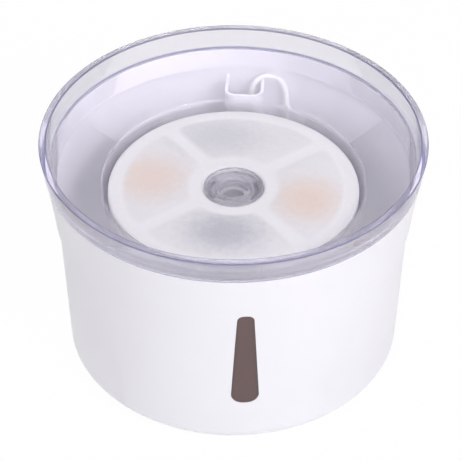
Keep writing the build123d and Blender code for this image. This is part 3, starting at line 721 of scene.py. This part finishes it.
def clearPlastic(name, look):
    # see-through plastic, violet where there is a lot of it, with painted shade: dark lines along its
    # edges that stand in for what refraction shows there
    material, wire = startMaterial(name)
    waves = noiseOn(wire, look["ripple"], look["rippleDetail"])
    values = {
        "Base Color": look["tint"],
        "Roughness": look["roughness"],
        "IOR": look["bend"],
        "Transmission Weight": 1.0,
        "Normal": bumpFrom(wire, waves, look["rippleStrength"], look["rippleDepth"]),
    }
    glass = principled(wire, values)
    coords = objectCoords(wire)
    flat = wire.node("ShaderNodeMapping", {}, {"Vector": coords, "Scale": (1.0, 1.0, 0.0)})
    reach = lengthOf(wire, flat)
    inside = smoothRange(wire, reach, look["plainFrom"], look["plainTo"], look["plainInside"], 0.0)
    plain = wire.node("ShaderNodeBsdfTransparent", {}, {"Color": look["plainTint"]})
    shader = blendShaders(wire, inside + look["plainShare"], glass, plain)
    milk = principled(wire, {"Base Color": look["milk"], "Roughness": look["milkRoughness"]})
    shader = blendShaders(wire, look["haze"], shader, milk)
    # painted shade: a dark shader mixed in along the rim's edges and the band's lower lip
    edge = principled(wire, {"Base Color": look["paintedShadeTint"], "Roughness": look["milkRoughness"]})
    shader = blendShaders(wire, paintedShadeLines(wire, look, coords, reach), shader, edge)
    shadow = wire.node("ShaderNodeLightPath", {}, {}, out="Is Shadow Ray")
    letThrough = wire.node("ShaderNodeBsdfTransparent", {}, {"Color": look["shadow"]})
    shader = blendShaders(wire, shadow, shader, letThrough)
    depth = {"Color": look["depthTint"], "Density": look["density"]}
    volume = wire.node("ShaderNodeVolumeAbsorption", {}, depth)
    return finishMaterial(material, shader, volume)


# clear plastic of the tray, and what differs for the hub and the riser
clearLook = {
    "tint": (0.91, 0.90, 0.92, 1.0),
    "plainShare": 0.25,
    "plainInside": 0.5,
    "plainFrom": 0.0685,
    "plainTo": 0.0705,
    "plainTint": (0.92, 0.91, 0.92, 1.0),
    "milk": (0.69, 0.68, 0.73, 1.0),
    "milkRoughness": 0.3,
    "roughness": 0.01,
    "bend": 1.42,
    "ripple": 14.0,
    "rippleDetail": 1.0,
    "rippleStrength": 0.003,
    "rippleDepth": 0.002,
    "shadow": (1.0, 1.0, 1.0, 1.0),
    "depthTint": (0.60, 0.59, 0.88, 1.0),
    "density": 13.0,
    "haze": 0.13,
    # painted shade: the colour and strength of the dark lines along the rim's edges and the band's lower
    # lip, and where they lie
    "paintedShadeTint": colour(112, 110, 152),
    "paintedShadeShare": 0.8,
    "edgeLow": 0.1330,
    "edgeHigh": 0.1336,
    "edgeMiddle": 0.0981,
    "edgeIn": 0.0012,
    "edgeOut": 0.0016,
    "lipLow": 0.1207,
    "lipHigh": 0.1214,
    "lipFrom": 0.0972,
}
hubLook = {
    **clearLook,
    "plainInside": 0.0,
    "roughness": 0.005,
    "bend": 1.5,
    "ripple": 420.0,
    "rippleStrength": 0.3,
    "haze": 0.2,
}
riserLook = {
    **clearLook,
    "plainInside": 0.25,
    "milk": (0.60, 0.59, 0.64, 1.0),
    "roughness": 0.3,
    "ripple": 60.0,
    "haze": 0.55,
}

# fleece of the filter: white fibres, with the grains and beads showing through its pockets
fleeceLook = {
    "weld": colour(243, 240, 246),
    "pocket": colour(236, 233, 239),
    "carbon": colour(192, 191, 203),
    "resin": colour(236, 214, 206),
    "thin": colour(176, 174, 180),
    "thinShare": 0.34,
    "fibres": 480.0,
    "fibreDetail": 6.0,
    "fibreRoughness": 0.7,
    "fibreTwist": 2.5,
    "grains": 1500.0,
    "grainSpread": (0.9, 0.55),
    "beadSpread": (0.8, 0.6),
    "ragged": 260.0,
    "raggedDetail": 5.0,
    "raggedShare": 0.7,
    "fibreBump": 0.6,
    "grainBump": 0.4,
    "bumpStrength": 0.25,
    "bumpDepth": 0.0003,
    "roughness": 0.95,
    "sheen": 0.1,
    "specular": 0.2,
    "spotLevel": 0.1,
    "spotFades": (1.45, 0.15),
    "carbonSpots": [
        ((-0.002, -0.0375), (0.022, 0.016), 0.95),
        ((-0.013, 0.041), (0.026, 0.018), 0.50),
        ((0.018, 0.043), (0.028, 0.016), 0.10),
    ],
    "resinSpots": [
        ((-0.045, 0.003), (0.021, 0.020), 0.85),
        ((0.040, -0.009), (0.019, 0.019), 0.95),
    ],
}


def spotShare(wire, look, coords, ragged, spots):
    # soft ragged spots where the filling lies against the fleece
    total = 0.0
    for (x, y), (wide, deep), strength in spots:
        values = {
            "Vector": coords,
            "Location": (x, y, look["spotLevel"]),
            "Scale": (wide, deep, 1.0),
        }
        local = wire.node("ShaderNodeMapping", {"vector_type": "TEXTURE"}, values)
        reach = lengthOf(wire, local) + ragged * look["raggedShare"]
        total = smoothRange(wire, reach, *look["spotFades"], 0.0, strength) + total
    return total


def fibreFleece(name, look):
    # non-woven fleece with darker or orange spots in its pockets
    material, wire = startMaterial(name)
    coords = objectCoords(wire)
    pocket = wire.node("ShaderNodeAttribute", {"attribute_name": "filled"}, {}, out="Fac")
    ragged = noiseOn(wire, look["ragged"], look["raggedDetail"], coords) - 0.5
    values = {
        "Vector": coords,
        "Scale": look["fibres"],
        "Detail": look["fibreDetail"],
        "Roughness": look["fibreRoughness"],
        "Distortion": look["fibreTwist"],
    }
    fibres = wire.node("ShaderNodeTexNoise", {}, values)
    grains = noiseOn(wire, look["grains"], vector=coords)
    spread, least = look["grainSpread"]
    carbon = spotShare(wire, look, coords, ragged, look["carbonSpots"]) * pocket
    carbon = carbon * (grains * spread + least)
    spread, least = look["beadSpread"]
    resin = spotShare(wire, look, coords, ragged, look["resinSpots"]) * pocket
    resin = resin * (fibres * spread + least)
    shade = blendColours(wire, pocket, look["weld"], look["pocket"])
    shade = blendColours(wire, resin, shade, look["resin"])
    shade = blendColours(wire, carbon, shade, look["carbon"])
    bumps = fibres * look["fibreBump"] + grains * pocket * look["grainBump"]
    values = {
        "Base Color": blendColours(wire, fibres * look["thinShare"], shade, look["thin"]),
        "Roughness": look["roughness"],
        "Normal": bumpFrom(wire, bumps, look["bumpStrength"], look["bumpDepth"]),
        "Sheen Weight": look["sheen"],
        "Specular IOR Level": look["specular"],
    }
    return finishMaterial(material, principled(wire, values))


# each material: its maker, the maker's values, and the pieces that have it
finishes = {
    "tankWhite": (moulded, (colour(245, 243, 250), 0.38, 900.0, 0.0001), ["tank_body"]),
    "footRubber": (
        rubbery,
        (colour(178, 178, 180), 0.75),
        ["foot_pad_1", "foot_pad_2", "foot_pad_3", "foot_pad_4"],
    ),
    "smokedWindow": (moulded, (colour(98, 76, 75), 0.22, 400.0, 0.0001), ["level_window"]),
    "sealRubber": (rubbery, (colour(84, 66, 66), 0.6), ["window_seal"]),
    "trayPlastic": (clearPlastic, (clearLook,), ["drinking_tray"]),
    "hubPlastic": (clearPlastic, (hubLook,), ["outlet_hub"]),
    "fleeceFibres": (fibreFleece, (fleeceLook,), ["filter_top_fleece", "filter_bottom_fleece"]),
    "carbonGrains": (
        moulded,
        (colour(60, 60, 64), 0.8, 900.0, 0.001),
        ["carbon_fill_front", "carbon_fill_back"],
    ),
    "resinGrains": (
        moulded,
        (colour(226, 176, 140), 0.5, 900.0, 0.001),
        ["resin_fill_left", "resin_fill_right"],
    ),
    "pumpPlastic": (
        moulded,
        (colour(216, 218, 224), 0.45, 700.0, 0.0002),
        ["pump_housing", "impeller_cover", "motor_back_cover", "intake_cover"],
    ),
    "dialPlastic": (moulded, (colour(150, 160, 178), 0.45, 700.0, 0.0002), ["flow_dial"]),
    "spongeFoam": (foam, (colour(92, 94, 102), 1100.0), ["intake_sponge"]),
    "impellerPlastic": (moulded, (colour(236, 236, 238), 0.4, 700.0, 0.0002), ["impeller"]),
    "magnetBlack": (metal, (colour(58, 58, 62), 0.5, (300.0, 300.0, 300.0)), ["rotor_magnet"]),
    "shaftSteel": (metal, (colour(200, 200, 204), 0.2, (900.0, 60.0, 900.0)), ["impeller_shaft"]),
    "bushRubber": (rubbery, (colour(40, 40, 42), 0.7), ["front_bush", "rear_bush"]),
    "coreSteel": (metal, (colour(136, 136, 140), 0.4, (60.0, 1800.0, 60.0)), ["stator_core"]),
    "coilCopper": (metal, (colour(196, 120, 76), 0.3, (1800.0, 60.0, 60.0)), ["stator_coil"]),
    "boardGreen": (moulded, (colour(28, 92, 52), 0.35, 500.0, 0.0002), ["driver_board"]),
    "riserSilicone": (clearPlastic, (riserLook,), ["riser_tube"]),
    "cupRubber": (
        rubbery,
        (colour(214, 214, 216), 0.45),
        ["suction_cup_1", "suction_cup_2", "suction_cup_3", "suction_cup_4"],
    ),
    "cableJacket": (
        rubbery,
        (colour(250, 249, 250), 0.5),
        ["cable_gland", "pump_cord", "cord_coil", "plug_cord"],
    ),
    "tieBlack": (rubbery, (colour(52, 52, 54), 0.6), ["coil_tie"]),
    "plugPlastic": (moulded, (colour(240, 240, 243), 0.4, 900.0, 0.0002), ["plug_grip"]),
    "plugSteel": (metal, (colour(214, 214, 218), 0.22, (60.0, 900.0, 900.0)), ["plug_shell"]),
    "tonguePlastic": (moulded, (colour(238, 238, 232), 0.5, 700.0, 0.0002), ["plug_tongue"]),
}
materials = {}
for title, (maker, values, names) in finishes.items():
    materials[title] = maker(title, *values)
    for name in names:
        dress(name, materials[title])
for piece, title in (
    (clearTray, "trayPlastic"),
    (pumpCable, "cableJacket"),
    (filterPad, "fleeceFibres"),
    (filterBase, "fleeceFibres"),
    (spongeBlock, "spongeFoam"),
):
    piece.data.materials.append(materials[title])
print("finishes on:", len(nodes), "nodes")

# studio: a white floor and sky, and soft lamps on the object
white = (1.0, 1.0, 1.0, 1.0)
studio = {
    "floorSize": 12.0,
    "floorLevel": -0.0002,
    "floorShown": 0.96,
    "skyLevel": 0.34,
    "skyOverhead": 0.50,
    "overheadTint": (0.72, 0.70, 1.0, 1.0),
    "skyUnderTray": 2.5,
    "overheadFrom": 0.25,
    "overheadTo": 0.75,
    "lampTarget": (0.0, 0.0, 0.06),
    "lamps": [
        {"place": (1.0, -0.95, 1.0), "power": 8.0, "size": 0.4, "mirrored": True},
        {"place": (0.05, -1.0, 0.9), "power": 6.1, "size": 1.2, "mirrored": False},
        {"place": (-0.3, 0.8, 1.25), "power": 6.6, "size": 1.0, "mirrored": False},
    ],
}


def raysSeen(wire):
    # rays straight from the camera, rays by a reflection or through glass, and rays off a dull surface
    kinds = ("Is Camera Ray", "Is Glossy Ray", "Is Transmission Ray", "Diffuse Depth")
    path = wire.tree.nodes.new("ShaderNodeLightPath")
    straight, mirrored, through, dull = (Wire(wire.tree, path.outputs[kind]) for kind in kinds)
    return straight, (mirrored + through) > 0.5, dull > 0.5


bpy.ops.mesh.primitive_plane_add(size=studio["floorSize"], location=(0, 0, studio["floorLevel"]))
floor = bpy.context.object
floor.name = "floor"
floorPale, wire = startMaterial("floorPale")
matt = wire.node("ShaderNodeBsdfDiffuse", {}, {"Color": white})
shown = wire.node("ShaderNodeEmission", {}, {"Color": white, "Strength": 1.0})
straight, bounced = raysSeen(wire)[:2]
floorShader = blendShaders(wire, (straight + bounced) * studio["floorShown"], matt, shown)
floor.data.materials.append(finishMaterial(floorPale, floorShader))

world = bpy.data.worlds.new("studioSky")
world.use_nodes = True
world.node_tree.nodes.clear()
scene.world = world
wire = Wire(world.node_tree)
straight, bounced, diffused = raysSeen(wire)
direction = wire.node("ShaderNodeTexCoord", {}, {}, out="Generated")
rise = heightOf(wire, direction)
overhead = smoothRange(wire, rise, studio["overheadFrom"], studio["overheadTo"], 0.0, 1.0)
dimmed = 1.0 - overhead * (1.0 - studio["skyOverhead"])
dimmed = dimmed * (1.0 - diffused) + diffused * studio["skyUnderTray"]
level = straight + bounced * dimmed + (1.0 - straight - bounced) * studio["skyLevel"]
tinted = overhead * bounced * (1.0 - diffused)
skyColour = blendColours(wire, tinted, white, studio["overheadTint"])
sky = wire.node("ShaderNodeBackground", {}, {"Color": skyColour, "Strength": level})
skyOutput = world.node_tree.nodes.new("ShaderNodeOutputWorld")
world.node_tree.links.new(sky.socket, skyOutput.inputs["Surface"])

for values in studio["lamps"]:
    bpy.ops.object.light_add(type="AREA", location=values["place"])
    lamp = bpy.context.object
    lamp.data.energy = values["power"]
    lamp.data.size = values["size"]
    lamp.visible_transmission = values["mirrored"]
    lamp.visible_glossy = values["mirrored"]
    lamp.rotation_euler = aimAt(values["place"], studio["lampTarget"])
print("studio lit")

bpy.context.view_layer.update()
